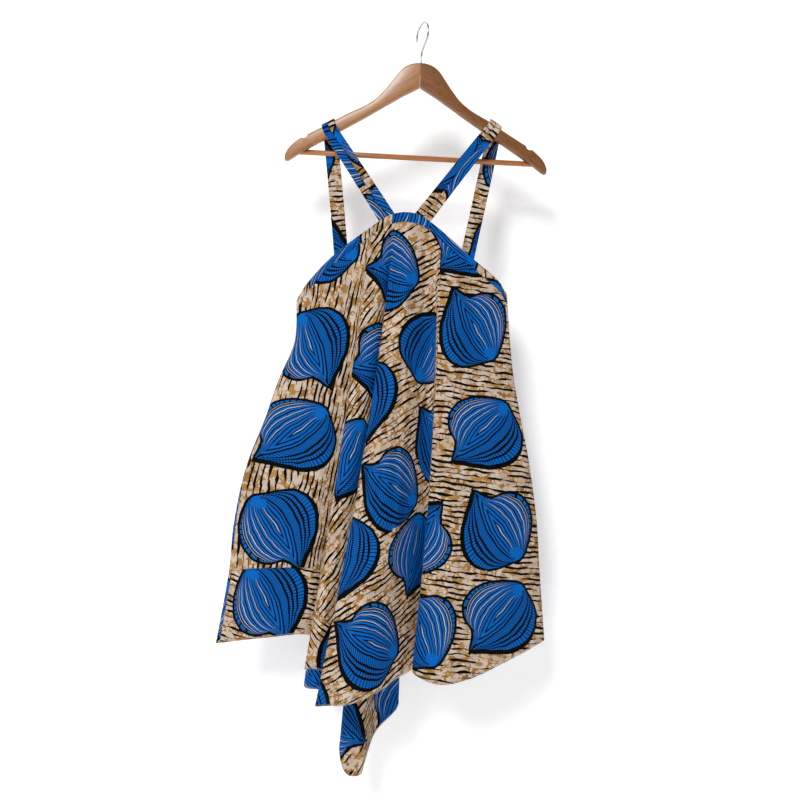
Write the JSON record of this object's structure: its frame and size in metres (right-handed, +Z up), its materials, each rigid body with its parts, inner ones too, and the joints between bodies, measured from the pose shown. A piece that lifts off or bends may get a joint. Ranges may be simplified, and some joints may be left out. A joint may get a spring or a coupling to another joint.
{
  "type": "wax print dress on wooden hanger",
  "caption": "Strappy flared wax print dress with a handkerchief hem, hung on a contoured wooden hanger with a trouser bar and a wire hook.",
  "frame": {"origin": "where a rail bears on the inside of the hook's crown", "axes": "+Z up, the dress front faces -Y, +X to the right of a person who looks at the front"},
  "size_m": [0.5555, 0.1656, 1.2803],
  "materials": {
    "wax_print_cotton": "matt printed cotton, a little glazed",
    "wax_print_trim": "matt printed cotton, folded",
    "light_wood": "satin lacquer",
    "dark_wood": "satin lacquer",
    "dowel_wood": "satin lacquer",
    "hook_steel": "bright zinc plate"
  },
  "bodies": {
    "root": {"front_panel": "wax_print_cotton", "front_hem_band": "wax_print_cotton", "back_panel": "wax_print_cotton", "neck_binding": "wax_print_trim", "left_armhole_binding": "wax_print_trim", "right_armhole_binding": "wax_print_trim", "back_binding": "wax_print_trim", "left_strap": "wax_print_trim", "right_strap": "wax_print_trim", "hanger_arm_left": "light_wood", "hanger_arm_right": "dark_wood", "trouser_bar": "dowel_wood", "hook": "hook_steel"}
  },
  "joints": []
}
